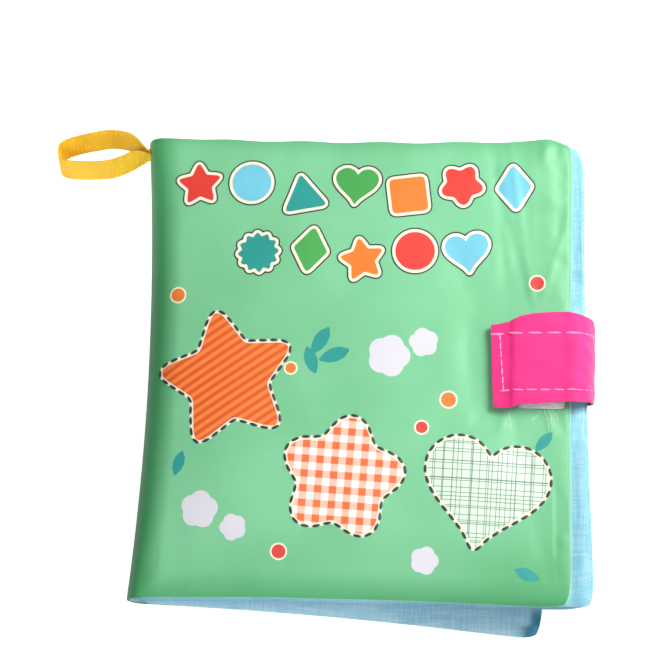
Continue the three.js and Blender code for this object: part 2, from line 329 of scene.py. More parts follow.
def mark_painted_shade(piece, painted_shade):
    """Writes how much painted shade each point of a grid gets, before it is thickened."""
    layer = piece.data.attributes.new("painted_shade", "FLOAT", "POINT")
    layer.data.foreach_set("value", painted_shade.ravel().astype(np.float32))


# pale dye, deep dye, thread spacing in metres, roughness, bump, slub, patch, sheen, thread, streak, gloss
satin = cloth(
    "green_satin", dyed(131, 204, 157), dyed(116, 192, 142), 0.00022, 0.4, 0.12, 0.1, 26, 0.04, 0.03, 0, 0.28)
satin_back = cloth(
    "mint_lining", dyed(176, 238, 214), dyed(160, 226, 203), 0.00045, 0.8, 0.3, 0.3, 30, 0.2, 0.08)
page = cloth(
    "sky_page_cloth", dyed(150, 212, 232), dyed(130, 200, 226), 0.0005, 0.85, 0.4, 0.5, 40, 0.15, 0.07, 0.32)
# Leaf 4 gets a paler copy of the page cloth: painted light, for the light the table bounces onto the leaf that
# shows at the foot.
bounce_lit_page = cloth(
    "bounce_lit_page_cloth", dyed(188, 232, 250), dyed(158, 214, 240), 0.0005, 0.85, 0.4, 0.5, 40, 0.15, 0.07, 0.5)
strap_pink = cloth(
    "pink_strap_cloth", dyed(245, 43, 138), dyed(238, 34, 127), 0.0004, 0.72, 0.35, 0.3, 60, 0.3, 0.05)
tape_white = cloth(
    "white_hook_tape", dyed(255, 253, 254), dyed(244, 242, 244), 0.0007, 0.85, 0.9, 0.8, 90, 0.2, 0.06)
wad_white = cloth(
    "white_wadding", dyed(250, 248, 243), dyed(236, 233, 226), 0.0012, 0.95, 0.8, 1.5, 120, 0.3, 0.04)
film_clear = cloth(
    "crinkle_film", dyed(226, 230, 233), dyed(204, 210, 214), 0.002, 0.24, 0.5, 2.5, 200, 0, 0.03)
# Painted shade: the satin darkens to a deep green, and leaf 4's corner to a deep blue, where their attribute
# says.
add_painted_shade(satin, dyed(74, 160, 102))
add_painted_shade(bounce_lit_page, dyed(72, 142, 168))
print("cloths", len(bpy.data.materials))


# %% [markdown]
# ## The shape of a padded panel
# A cover or leaf is two cloths sewn together at three edges and padded between. Its plan is a
# leaning rectangle whose edges are drawn in by the seams. Its height is lowest at the seams and
# level in the middle. These are the same rules as the solids follow, with a rounder seam.

# %% Panel plan and heights, in millimetres
WIDTH, HEIGHT = 148, 165
FORE_X, SPINE_X, DRAWN_IN = 74.5, -73.0, 3.6
END_DRAWN_IN, FORE_DRAWN_IN, CORNER_CUT = 1.2, 1.1, 1.8
PITCH, THICK, SEAM, CLOTH = 3.8, 3.4, 2.1, 0.45
SEAM_ROUND, SPINE_ROUND, BACK_SEAM_HEIGHT = 4.5, 3.5, 0.75
PANELS = {  # level, creep at head and foot, drop at head and foot, foot corner drawn back
    "back_cover": (0, 0, 0, 6, 8.8, 11.22),
    "leaf_4": (1, 2.45, 1.4, 5.5, 10, 9.9),
    "leaf_3": (2, 3.5, 7.35, 1, 0, 0),
    "leaf_2": (3, 4.55, 9.8, 0.8, 0, 0),
    "leaf_1": (4, 3.5, 8.4, 0.4, 0, 0),
    "front_cover": (5, 0, 1.4, 0, 0.5, 0),
}


def drawn_in(v):
    """How far the spine is drawn in, most in the middle of the height."""
    return DRAWN_IN * (1 - (2 * v - 1) ** 2)


def panel_plan(panel, u, v):
    """Where a panel's points lie: u runs from the spine to the fore edge, v from foot to head."""
    _, creep_head, creep_foot, drop_head, drop_foot, back = PANELS[panel]
    s, t = 2 * u - 1, 2 * v - 1
    spine_y = HEIGHT * (v - 0.5)
    start = SPINE_X + 1
    end = FORE_X + creep_foot - back + (creep_head - creep_foot + back) * v
    end_y = -HEIGHT / 2 - drop_foot + (HEIGHT - drop_head + drop_foot) * v
    x = start + (end - start) * u
    y = spine_y + (end_y - spine_y) * u
    y = y - END_DRAWN_IN * t * (1 - s * s)
    x = x - FORE_DRAWN_IN * (1 - t * t) * u**5 + drawn_in(v) * (1 - u) ** 5
    corner = CORNER_CUT * np.maximum(s, 0) ** 18 * np.abs(t) ** 18
    return x - corner, y - np.sign(t) * corner


def crown(u, v):
    """How full a panel is: 1 in the middle, 0 at the seams, a little less at the spine."""
    across = (1 - 0.2 * (1 - u) ** 5) * (1 - u**5)
    return across * (1 - np.abs(2 * v - 1) ** 5)


def ramp(distance, band):
    """Rises from 0 to 1 over a band, then stays."""
    return np.clip(distance / band, 0, 1)


def rounded(distance, band):
    """Rises like a quarter circle over a band, then stays at 1."""
    return np.sqrt(1 - (1 - ramp(distance, band)) ** 2)


def from_seam(u, v):
    """The distance to the nearest edge of a panel."""
    return np.minimum(np.minimum(u, 1 - u) * WIDTH, np.minimum(v, 1 - v) * HEIGHT)


def panel_faces(panel, u, v, closed_spine=True):
    """Heights of the outer faces of the upper and the lower cloth."""
    level = PANELS[panel][0]
    swell = (THICK - SEAM) * crown(u, v)
    if level == 0:
        low, high, seam = 0 * u, SEAM + swell, BACK_SEAM_HEIGHT
    else:
        middle = level * PITCH + THICK / 2
        low, high, seam = middle - (SEAM + swell) / 2, middle + (SEAM + swell) / 2, middle
    ease = rounded((1 - u) * WIDTH, SEAM_ROUND) * rounded(np.minimum(v, 1 - v) * HEIGHT, SEAM_ROUND)
    if closed_spine:
        ease = ease * (0.45 + 0.55 * rounded(u * WIDTH, SPINE_ROUND))
    upper = seam + CLOTH + (high - seam - CLOTH) * ease
    lower = seam - CLOTH - (seam - low - CLOTH) * ease
    return upper, lower


print("front cover lies at", [round(float(h), 2) for h in panel_faces("front_cover", 0.5, 0.5)])


# %% [markdown]
# ## Making a sheet of cloth
# A sheet starts as a grid of points. Solidify gives it the cloth's real thickness and closes its
# rim, and the result is kept as a plain mesh. Points stand closer together at the seams.

# %% Grid, thickness and finish
SHARP_DEGREES = 55


def crowded(count):
    """Even steps from 0 to 1, drawn towards both ends."""
    t = np.linspace(0, 1, count + 1)
    return 0.55 * t + 0.45 * (1 - np.cos(math.pi * t)) / 2


def object_of(name, vertices, faces, materials=(), edges=()):
    mesh = bpy.data.meshes.new(name)
    mesh.from_pydata([tuple(p) for p in vertices], edges, faces)
    for material in materials:
        mesh.materials.append(material)
    made = bpy.data.objects.new(name, mesh)
    scene.collection.objects.link(made)
    return made


def grid_of(name, x, y, z, material, face_down=False):
    """A grid from arrays in millimetres. Rows run to the head, columns to the fore edge."""
    if face_down:
        x, y, z = x[::-1], y[::-1], z[::-1]
    rows, columns = x.shape
    points = np.stack([x, y, z], -1).reshape(-1, 3) * MM
    index = np.arange(rows * columns).reshape(rows, columns)
    corners = np.stack([index[:-1, :-1], index[:-1, 1:], index[1:, 1:], index[1:, :-1]], -1).reshape(-1, 4)
    return object_of(name, points.tolist(), corners.tolist(), [material])


def keep_modified(piece):
    """Turns what the modifiers make into the piece's plain mesh."""
    evaluated = piece.evaluated_get(bpy.context.evaluated_depsgraph_get())
    mesh, old = bpy.data.meshes.new_from_object(evaluated), piece.data
    piece.modifiers.clear()
    piece.data = mesh
    bpy.data.meshes.remove(old)
    mesh.shade_smooth()
    mesh.set_sharp_from_angle(angle=math.radians(SHARP_DEGREES))


def thicken(piece, thickness, upward=-1):
    """Gives a grid its thickness below it (-1) or above it (1)."""
    wall = piece.modifiers.new("cloth_thickness", "SOLIDIFY")
    wall.thickness = thickness * MM
    wall.offset = upward
    keep_modified(piece)


def finish_piece(piece, replaced=()):
    if replaced:
        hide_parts(*replaced)
    print(piece.name, "faces", len(piece.data.polygons), "for", ", ".join(replaced))


# %% [markdown]
# ## Gathers
# Where a stuffed panel is sewn, the stitches take up some of the cloth, and short rays of folds
# run in from the seam. Each ray gets its own place, width, reach and lean from seeded chance.
# Slow waves add the unevenness of the wadding. The strap presses its part of the cover flat.

# %% Gathers and waves
def gathers(u, v, seed, height, reach):
    """Folds that run in from the seams at the foot, the head and the fore edge."""
    chance = np.random.default_rng(seed)
    rise = np.zeros_like(u)
    x, y = u * WIDTH, v * HEIGHT
    foot, head, fore = (y, x, WIDTH), ((1 - v) * HEIGHT, x, WIDTH), ((1 - u) * WIDTH, y, HEIGHT)
    for inward, along, length in (foot, head, fore):
        place = chance.uniform(3, 7)
        while place < length - 3:
            wide = chance.uniform(1.8, 4.2)
            amount = chance.uniform(-0.75, 1) * height
            run = chance.uniform(0.45, 1.4) * reach
            lean = chance.uniform(-0.4, 0.4)
            aside = (along - place - lean * inward) / (wide * (1 + inward / reach))
            fading = np.exp(-((inward / run) ** 1.6)) * (1 - np.exp(-((inward / 2) ** 2)))
            rise += amount * np.exp(-(aside**2)) * fading
            place += chance.uniform(4.5, 9.5)
    return rise


def waves(x, y, seed, count, shortest, longest, weighted=False):
    """Waves of chance lengths and directions. Weighted ones are higher the longer they are."""
    chance = np.random.default_rng(seed)
    rise = np.zeros_like(x)
    for _ in range(count):
        length = chance.uniform(shortest, longest)
        turn = chance.uniform(0, 2 * math.pi)
        phase = chance.uniform(0, 2 * math.pi)
        wave = np.cos((x * math.cos(turn) + y * math.sin(turn)) * 2 * math.pi / length + phase)
        rise += wave * length / longest if weighted else wave
    return rise


def under_strap(x, y):
    """1 under the strap's tab, 0 away from it."""
    share = ramp(np.maximum(np.maximum(46 - x, -15.5 - y), y - 19.5), 7)
    return 1 - share**2 * (3 - 2 * share)


def pleat(x, y, start, end, wide, height):
    """One fold from start to end, highest at its start."""
    run = np.array(end, float) - np.array(start, float)
    length = math.hypot(*run)
    along = ((x - start[0]) * run[0] + (y - start[1]) * run[1]) / length
    aside = ((x - start[0]) * run[1] - (y - start[1]) * run[0]) / length
    inside = np.clip(along / length, -0.2, 1.2)
    return height * np.exp(-((aside / wide) ** 2)) * np.exp(-((inside - 0.25) ** 2) / 0.18)


def dent(x, y, across, up, turn):
    """A smooth oval spot, 1 in its middle."""
    side = (x * math.cos(turn) + y * math.sin(turn)) / across
    head = (y * math.cos(turn) - x * math.sin(turn)) / up
    return np.exp(-(side**2) - head**2)


# %% [markdown]
# ## Stuffing the front: a cloth simulation
# Satin over a soft filling isn't smooth. The seams hold it short while the filling pushes it up,
# so it lifts in broad humps with dents between them. The simulation does the same: a flat sheet
# is pinned along its seams and held down under the strap, every part of it grows by its own small
# share, and a light pressure lifts it. It runs at ten times the size, where the solver is steady.
# Only its heights are kept, and the cover takes seven tenths of them, because the real book has
# no more filling than that.

# %% Cloth simulation of the front
SIM_COLUMNS, SIM_ROWS = 63, 70
SIM_SCALE, SIM_FRAMES, SIM_SHARE = 10, 20, 0.7
QUICK_DOME, DOME_BAND, SOFT_HOLD, STRAP_HOLD = 2.6, 9, 0.12, 0.9
SATIN_BEHAVIOUR = {
    "quality": 5, "mass": 0.02, "tension_stiffness": 15, "compression_stiffness": 15, "shear_stiffness": 5,
    "bending_stiffness": 0.5, "use_pressure": True, "uniform_pressure_force": 1.5, "pin_stiffness": 1,
    "vertex_group_mass": "held", "vertex_group_shrink": "growth", "shrink_min": 0, "shrink_max": -0.1,
}


def even_waves(x, y, seed):
    """Waves of all heights alike, brought to a spread of 1."""
    rise = waves(x, y, seed, 14, 16, 60)
    return rise / rise.std()


def simulated_front():
    """Heights of the stuffed front in millimetres, rows to the head, columns to the fore edge."""
    u, v = np.meshgrid(np.linspace(0, 1, SIM_COLUMNS), np.linspace(0, 1, SIM_ROWS))
    x, y = (u - 0.5) * WIDTH, (v - 0.5) * HEIGHT
    inward = from_seam(u, v)
    sheet = grid_of("front_under_test", x, y, 0.02 * even_waves(x, y, 3), None)
    for point in sheet.data.vertices:
        point.co *= SIM_SCALE
    start = np.array([point.co[:] for point in sheet.data.vertices])
    held = sheet.vertex_groups.new(name="held")
    growth = sheet.vertex_groups.new(name="growth")
    soft = SOFT_HOLD * np.clip(1 + 0.6 * even_waves(x, y, 8), 0.05, 3)
    hold = np.where(inward < 0.5, 1.0, np.maximum(soft, STRAP_HOLD * under_strap(x, y)))
    grown = np.clip(0.45 + 0.25 * even_waves(x, y, 5) + 0.5 * np.exp(-inward / 9), 0, 1)
    for index, (a, b) in enumerate(zip(hold.flat, grown.flat)):
        held.add([index], float(min(a, 1)), "REPLACE")
        growth.add([index], float(b), "REPLACE")
    solver = sheet.modifiers.new("stuffing", "CLOTH")
    solver.point_cache.frame_start, solver.point_cache.frame_end = 1, SIM_FRAMES
    for key, value in SATIN_BEHAVIOUR.items():
        setattr(solver.settings, key, value)
    solver.settings.effector_weights.gravity = 0
    for frame_number in range(1, SIM_FRAMES + 1):
        scene.frame_set(frame_number)
    evaluated = sheet.evaluated_get(bpy.context.evaluated_depsgraph_get())
    moved = np.array([point.co[:] for point in evaluated.data.vertices]) - start
    scene.frame_set(1)
    mesh = sheet.data
    bpy.data.objects.remove(sheet)
    bpy.data.meshes.remove(mesh)
    return moved[:, 2].reshape(x.shape) / MM / SIM_SCALE


def smooth_weights(places, count):
    """Weights that carry values at even steps to places between 0 and 1, without corners."""
    weights = np.zeros((len(places), count))
    for row, place in enumerate(places):
        k = min(int(place * (count - 1)), count - 2)
        t = place * (count - 1) - k
        parts = (-t + 2 * t * t - t**3, 2 - 5 * t * t + 3 * t**3, t + 4 * t * t - 3 * t**3, t**3 - t * t)
        for step, part in enumerate(parts):
            weights[row, min(max(k - 1 + step, 0), count - 1)] += part / 2
    return weights


SIMULATED = simulated_front()
print("stuffed front, mean and top in mm", round(float(SIMULATED.mean()), 2), round(float(SIMULATED.max()), 2))


# %% [markdown]
# ## Dents and pleats
# The photograph shows where this cover sinks and creases: dents in the filling, pleats that run out
# from the strap's corners and from the seams. They are listed as smooth spots and folds, and
# added to the stuffed heights. The relief stays low and never sinks into the film below it.

# %% Dents, pleats and the relief of the cover
def stuffed_height(u, v):
    """The simulated heights on a grid whose columns share u and whose rows share v."""
    return smooth_weights(v[:, 0], SIM_ROWS) @ SIMULATED @ smooth_weights(u[0], SIM_COLUMNS).T


ABOVE_FILM = -0.13
LOWEST, HIGHEST, PRESSED_EDGE, WAVE_HEIGHT, WAVE_SUM = -0.5, 2.4, 0.45, 0.3, 2.6
COVER_DENTS = [  # middle, half width, half height, turn, depth
    (57, 36, 7, 17, -20, 0.9), (60, -32, 6, 9, 10, 1.2), (69, -54, 5, 18, 0, 1.3), (41.5, 2, 4.5, 13, 3, 1.1),
    (-62, -66, 6, 14, -12, 0.5), (-20, 20, 9, 26, 35, 0.45), (14, -70, 22, 6, 3, 0.6), (71, 60, 3, 18, 0, 0.7),
    (37, 34, 5, 14, 25, 0.5), (30, -22, 6, 16, -30, 0.5),
]
COVER_PLEATS = [  # start, end, half width, height
    ((53, -15), (50, -25), 1.6, 0.8), ((56, -15), (57, -26), 1.7, -0.7), ((67, -13), (69, -26), 1.5, 0.8),
    ((70, -13), (73, -24), 1.4, -0.6), ((61, -14), (61, -23), 2.2, 0.45), ((45, 0), (34, -3), 3, 0.35),
    ((45, -10), (35, -16), 2.4, -0.35), ((47, 15), (38, 21), 2.4, 0.35), ((66, 81), (64, 70), 2.6, 0.9),
    ((69, 81), (68, 72), 2, -0.5), ((72, 60), (62, 57), 2.4, 0.5), ((73, 38), (62, 40), 2.2, -0.4),
    ((-68, -76), (-56, -70), 3, 0.6), ((-60, -80), (-54, -70), 2.2, -0.4), ((74, -60), (64, -57), 2.6, 0.5),
]


def cover_relief(u, v, x, y):
    """How far the satin stands over its plain shape."""
    unevenness = waves(x, y, 5, 16, 24, 75, True) * WAVE_HEIGHT / WAVE_SUM
    free = gathers(u, v, 11, 0.34, 11) + unevenness + SIM_SHARE * stuffed_height(u, v)
    for middle_x, middle_y, across, up, turn, depth in COVER_DENTS:
        free = free - depth * dent(x - middle_x, y - middle_y, across, up, math.radians(turn))
    relief = free * (1 - under_strap(x, y))
    for start, end, wide, height in COVER_PLEATS:
        relief = relief + pleat(x, y, start, end, wide, height) * (1 - 0.8 * under_strap(x, y))
    relief = relief + PRESSED_EDGE * dent(x - 48.5, y - 2, 3.2, 12, 0)
    edge = rounded((1 - u) * WIDTH, 5) * rounded((1 - v) * HEIGHT, 7) * rounded(v * HEIGHT, 9)
    roll = (1.5 - 1.0 * np.abs(2 * v - 1) ** 5) * (1 - ramp(u * WIDTH, 8)) ** 2
    relief = np.clip(relief, LOWEST, HIGHEST) * edge - roll
    least = ABOVE_FILM - 3 * (1 - ramp(from_seam(u, v) - 3, 2.5))
    return (relief + least + np.sqrt((relief - least) ** 2 + 0.04)) / 2


print("pleats on the cover", len(COVER_PLEATS))


# %% [markdown]
# ## The satin cover
# On the real book one length of satin makes the front, the spine and the back. It is made so here
# too: each row of points runs from the front's fore edge to the spine, round it, and along the
# underside. The front gets the gathers.

# %% Cover satin
FRONT_STEPS, SPINE_STEPS, BACK_STEPS, UP_STEPS = 150, 26, 48, 156
SPINE_BULGE = 4.6


def spine_round(low, high, v, bulge, angle):
    """Points of a cloth that runs round the spine between two heights."""
    y = HEIGHT * (v - 0.5)
    x = SPINE_X + 0.7 + drawn_in(v) - (bulge + 0.7) * np.cos(angle)
    return x, y + 0 * x, (low + high) / 2 + (high - low) / 2 * np.sin(angle)


def rolled_spine(x, z, slope, x_back, z_back, v):
    """From the front's last points, which slope down already, round the spine to the back's first."""
    outer = SPINE_X - SPINE_BULGE + drawn_in(v)
    middle = (z + z_back) / 2
    share = np.clip(slope * (x - outer) / (z - middle), 0, 0.42)
    first = np.arccos(share / (1 - share))
    angle = first + (-math.pi / 2 - first) * np.linspace(0, 1, SPINE_STEPS + 1)[None, 1:-1]
    upper = angle > 0
    across = np.where(upper, (x - outer) / (1 - np.cos(first)), x_back - outer)
    up = np.where(upper, (z - middle) / np.sin(first), z_back * -1 + middle)
    return outer + across * (1 - np.cos(angle)), HEIGHT * (v - 0.5) + 0 * angle, middle + up * np.sin(angle)


def cover_rows():
    v = crowded(UP_STEPS)[:, None]
    u, v_front = np.broadcast_arrays(crowded(FRONT_STEPS)[None, ::-1], v)
    x, y = panel_plan("front_cover", u, v_front)
    head_edge = 0.8 * np.exp(-(((x - 66) / 4) ** 2)) + 0.25 * np.sin(x * 0.23)
    y = y + head_edge * v_front**14 * ramp(x + 70, 20)
    z = panel_faces("front_cover", u, v_front, False)[0] + cover_relief(u, v_front, x, y)
    u_back, v_back = np.broadcast_arrays(crowded(BACK_STEPS)[None, :], v)
    x_back, y_back = panel_plan("back_cover", u_back, v_back)
    z_back = panel_faces("back_cover", u_back, v_back, False)[1]
    slope = (z[:, -3:-2] - z[:, -1:]) / (x[:, -3:-2] - x[:, -1:])
    front, back = (x, y, z), (x_back, y_back, z_back)
    spine = rolled_spine(x[:, -1:], z[:, -1:], slope, x_back[:, :1], z_back[:, :1], v)
    return [np.concatenate(parts, 1) for parts in zip(front, spine, back)]


def cover_painted_shade(x, y):
    """How much painted shade the satin gets: 1 on the spine, less along the other edges and at one corner."""
    from_spine = x - SPINE_X - 1 - drawn_in(y / HEIGHT + 0.5)
    from_foot, from_head, from_fore = y - y[:1], y[-1:] - y, x[:, :1] - x
    shares = (
        (1 - ramp(from_spine, 7)) ** 1.2, 0.85 * (1 - ramp(from_foot, 9)), 0.25 * (1 - ramp(from_foot, 24)),
        0.4 * (1 - ramp(from_head, 6)) ** 1.4, 0.32 * (1 - ramp(from_fore, 16)) ** 1.2,
        0.5 * dent(x - 62, y + 76, 26, 20, 0),
    )
    return 1 - np.prod([1 - share for share in shares], axis=0)


x, y, z = cover_rows()
cover_satin = grid_of("cover_satin", x, y, z, satin, face_down=True)
# Painted shade where the satin turns away: on the spine, along the seams and at one corner of the front.
mark_painted_shade(cover_satin, cover_painted_shade(x, y)[::-1])
thicken(cover_satin, CLOTH)
finish_piece(cover_satin, ["front_cover_outer", "spine_cloth", "back_cover_outer"])
cover_tree = BVHTree.FromObject(cover_satin, bpy.context.evaluated_depsgraph_get())


def on_cover(x, y, lift):
    """A point on the cover's upper face, in millimetres."""
    hit = cover_tree.ray_cast(Vector((x * MM, y * MM, 0.1)), Vector((0, 0, -1)))[0]
    return (x, y, hit.z / MM + lift)


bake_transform(cover_satin)

# %% [markdown]
# ## Linings and leaves
# The covers' insides and all the leaves are plain woven cloth. Each panel's two cloths meet in
# the seam, rounded, as when a bag is sewn inside out and turned. The front lining stands a little
# past the satin at the fore edge, which is the pale line seen there in the photograph. Leaf 1 has
# a groove beside its curled free edge. Leaf 4 is pushed out at the foot, and its corner there is
# creased, where the photograph shows the cloth folded, and painted darker there as shade. Leaf 4
# also has a paler copy of the page cloth: painted light, for the light the table bounces onto it.

# %% Linings and leaf cloths
def shaped_leaf(panel, x, y, upper, lower):
    """Heights of a panel's cloths with the curl of leaf 1 or the creased corner of leaf 4."""
    if panel == "leaf_1":
        curl = 1.5 * ramp(x - 75.8, 3.2) ** 2 * ramp(np.abs(y - 2.5) - 18, 12)
        return upper + curl - 0.5 * dent(x - 76, y - 42, 1.0, 16, 0), lower + curl
    if panel == "leaf_4":
        crease = 1.5 * ramp(x - 61.6, 0.9) - 0.9 * dent(x - 60.4, y + 90, 1.6, 2.4, 0.3)
        crease = (crease + 0.5 * pleat(x, y, (20, -88), (40, -86), 1.2, 1)) * ramp(-84.5 - y, 2)
        return upper + crease, lower + np.maximum(crease, 0)
    return upper, lower


def panel_cloth(name, panel, side, material, seed, node, past_fore=0):
    u, v = np.broadcast_arrays(crowded(56)[None, :], crowded(60)[:, None])
    x, y = panel_plan(panel, u, v)
    x = x + past_fore * u**12
    upper, lower = shaped_leaf(panel, x, y, *panel_faces(panel, u, v))
    fold = np.clip(gathers(u, v, seed, 0.35, 12), -0.12, 0.35) * rounded((1 - u) * WIDTH, 6)
    fold = np.minimum(fold * rounded(np.minimum(v, 1 - v) * HEIGHT, 6), 0.14)
    if side == "upper":
        piece = grid_of(name, x, y, upper + fold, material)
    else:
        piece = grid_of(name, x, y, lower - fold * (PANELS[panel][0] > 0), material, face_down=True)
    # Painted shade on leaf 4's creased corner at the foot.
    if material == bounce_lit_page and side == "upper":
        corner = np.maximum(ramp(x - 57, 4) * ramp(-87 - y, 1.5), ramp(x - 62.2, 1.2) * ramp(-81 - y, 3))
        mark_painted_shade(piece, corner)
    thicken(piece, CLOTH)
    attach(piece, panel)
    finish_piece(piece, [node])


panel_cloth("front_lining", "front_cover", "lower", satin_back, 21, "front_cover_lining", 0.9)
panel_cloth("back_lining", "back_cover", "upper", satin_back, 22, "back_cover_lining")
# Leaf 4 takes the paler page cloth with its painted bounce light.
for number in (1, 2, 3, 4):
    leaf, dye = f"leaf_{number}", bounce_lit_page if number == 4 else page
    panel_cloth(f"{leaf}_upper_page", leaf, "upper", dye, 30 + number, f"{leaf}_front_cloth")
    panel_cloth(f"{leaf}_lower_page", leaf, "lower", dye, 40 + number, f"{leaf}_back_cloth")


# %% [markdown]
# ## The folds of the spreads
# Leaves 1 and 4 are one length of cloth folded at the spine, and leaves 2 and 3 another inside it.
# Each fold is made in two halves that meet in the middle, because a half has to follow its own
# leaf when the book opens.

# %% Spread folds
FOLD_THICK, FOLD_ROOM, FOLD_MIDDLE = 1.0, 1.1, 0.0112


def fold_half(fold, half, lower_leaf, upper_leaf, leaf, inside):
    v = crowded(40)[:, None]
    bottom, top = (sum(panel_faces(panel, 0 * v, v)) / 2 for panel in (lower_leaf, upper_leaf))
    span = (math.pi / 2, 0) if half == "upper" else (0, -math.pi / 2)
    angle, v = np.broadcast_arrays(np.linspace(*span, 15)[None, :], v)
    x, y, z = spine_round(bottom - FOLD_ROOM / 2, top + FOLD_ROOM / 2, v, SPINE_BULGE - inside, angle)
    # Leaf 4's half of the fold takes the paler page cloth with its painted bounce light.
    dye = bounce_lit_page if leaf == "leaf_4" else page
    piece = grid_of(f"{fold}_{half}", x, y, z, dye, face_down=True)
    thicken(piece, FOLD_THICK)
    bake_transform(piece)
    finish_piece(piece, [fold])


for fold, low_leaf, high_leaf, inside, ends, strip in (
    ("outer_spread_fold", "leaf_4", "leaf_1", 0.95, (0.0052, 0.0172), 0.0092),
    ("inner_spread_fold", "leaf_3", "leaf_2", 2.4, (0.0089, 0.0135), 0.0055),
):
    fold_half(fold, "upper", low_leaf, high_leaf, high_leaf, inside)
    fold_half(fold, "lower", low_leaf, high_leaf, low_leaf, inside)


# %% [markdown]
# ## Wadding and crinkle film
# A thin pad and a sheet of stiff film lie in every panel. The film makes the crackling sound. They
# are hidden, so they only need their form: a lumpy pad, and a film creased in small facets.

# %% Wadding and film
INSET, PLAY, FILM_ROOM, FILM_THICK, LUMP_ROOM, WAD_SKIN = 6, 0.18, 0.3, 0.1, 0.06, 0.25


def add_filling(panel, seed):
    u, v = np.broadcast_arrays(np.linspace(0, 1, 37)[None, :], np.linspace(0, 1, 41)[:, None])
    u, v = (INSET / side + (1 - 2 * INSET / side) * share for side, share in ((WIDTH, u), (HEIGHT, v)))
    x, y = panel_plan(panel, u, v)
    level = PANELS[panel][0]
    spare = (THICK - SEAM) * (1 - crown(u, v))
    low = level * PITCH + (0 if level == 0 else spare / 2)
    high = level * PITCH + THICK - (spare if level == 0 else spare / 2)
    film_top = high - CLOTH - PLAY
    creases = np.abs(np.sin(x * 0.9 + 2 * np.sin(y * 0.31 + seed)))
    creases = creases * np.abs(np.sin(y * 0.8 + 2 * np.sin(x * 0.27)))
    film = grid_of(f"{panel}_film_sheet", x, y, film_top - 0.02 - 0.16 * creases, film_clear)
    thicken(film, FILM_THICK)
    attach(film, panel)
    finish_piece(film, [f"{panel}_crinkle_film"])
    lumps = 0.05 * np.sin(x * 0.5 + seed) * np.sin(y * 0.43 + seed)
    pad = grid_of(f"{panel}_pad", x, y, film_top - FILM_ROOM - PLAY - LUMP_ROOM + lumps, wad_white)
    thicken(pad, WAD_SKIN)
    foot = (low + CLOTH + PLAY + LUMP_ROOM + 0 * x).reshape(-1)
    for place, height in enumerate(foot):
        pad.data.vertices[x.size + place].co.z = height * MM
    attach(pad, panel)
    finish_piece(pad, [f"{panel}_wadding"])


for number, panel in enumerate(PANELS):
    add_filling(panel, number)

# %% [markdown]
# ## Stitches with Geometry Nodes
# A row of stitches is the same small thread bead again and again along a line. The tree takes the
# line as a mesh of edges, walks along it at a fixed spacing, sets a bead at every step with a
# little seeded turn, and makes them real. One tree serves the strap's topstitching, the dashes round
# the patches and the threads pulled out under the strap.

# %% The stitch tree
def make_stitch_tree():
    tree = bpy.data.node_groups.new("row_of_stitches", "GeometryNodeTree")
    face = tree.interface
    face.new_socket("Geometry", in_out="INPUT", socket_type="NodeSocketGeometry")
    sockets = {}
    for label in ("Spacing", "Length", "Radius", "Flatness", "Thread"):
        kind = "NodeSocketMaterial" if label == "Thread" else "NodeSocketFloat"
        sockets[label] = face.new_socket(label, in_out="INPUT", socket_type=kind).identifier
    face.new_socket("Geometry", in_out="OUTPUT", socket_type="NodeSocketGeometry")
    given, made = tree.nodes.new("NodeGroupInput").outputs, tree.nodes.new("NodeGroupOutput")
    line = add_node(tree, "GeometryNodeMeshToCurve", {0: given["Geometry"]})
    steps = {"Curve": line.outputs[0], "Length": given["Spacing"]}
    walk = add_node(tree, "GeometryNodeCurveToPoints", steps, mode="LENGTH").outputs
    bead = add_node(tree, "GeometryNodeMeshUVSphere", {"Segments": 7, "Rings": 5, "Radius": 1})
    flat = times(tree, given["Radius"], given["Flatness"])
    half = times(tree, given["Length"], 0.5)
    size = add_node(tree, "ShaderNodeCombineXYZ", {"X": given["Radius"], "Y": flat, "Z": half})
    chance = {"Min": (-0.06, -0.06, 0), "Max": (0.06, 0.06, 0), "Seed": 7}
    turn = add_node(tree, "FunctionNodeRandomValue", chance, data_type="FLOAT_VECTOR")
    euler = add_node(tree, "FunctionNodeEulerToRotation", {0: turn.outputs["Value"]})
    turns = {"Rotation": walk["Rotation"], "Rotate By": euler.outputs[0]}
    rotate = add_node(tree, "FunctionNodeRotateRotation", turns, rotation_space="LOCAL")
    row = {"Points": walk["Points"], "Instance": bead.outputs["Mesh"], "Rotation": rotate.outputs[0]}
    place = add_node(tree, "GeometryNodeInstanceOnPoints", {**row, "Scale": size.outputs[0]})
    real = add_node(tree, "GeometryNodeRealizeInstances", {0: place.outputs[0]})
    thread = {"Geometry": real.outputs[0], "Material": given["Thread"]}
    feed(tree, made.inputs[0], add_node(tree, "GeometryNodeSetMaterial", thread).outputs[0])
    return tree, sockets


STITCHES, STITCH_INPUTS = make_stitch_tree()


def sew(name, lines, thread, spacing, length, radius, flatness=1.0):
    """Stitches along lines of points in millimetres. All sizes are millimetres too."""
    vertices, edges = [], []
    for line in lines:
        start = len(vertices)
        vertices += [(p[0] * MM, p[1] * MM, p[2] * MM) for p in line]
        edges += [(start + k, start + k + 1) for k in range(len(line) - 1)]
    piece = object_of(name, vertices, [], edges=edges)
    steps = piece.modifiers.new("stitches", "NODES")
    steps.node_group = STITCHES
    sizes = {"Spacing": spacing * MM, "Length": length * MM, "Radius": radius * MM, "Flatness": flatness}
    for label, value in {**sizes, "Thread": thread}.items():
        steps[STITCH_INPUTS[label]] = value
    keep_modified(piece)
    print(name, "faces", len(piece.data.polygons))
    return piece


# %% [markdown]
# ## The closing strap
# The strap is two plies of pink cloth. It leaves the seam of the back cover, climbs the fore edge
# and folds over the front. Its path is drawn as points in side view, and a smooth curve through
# them carries a grid. The tab is narrower at its end, and its edges wave a little.

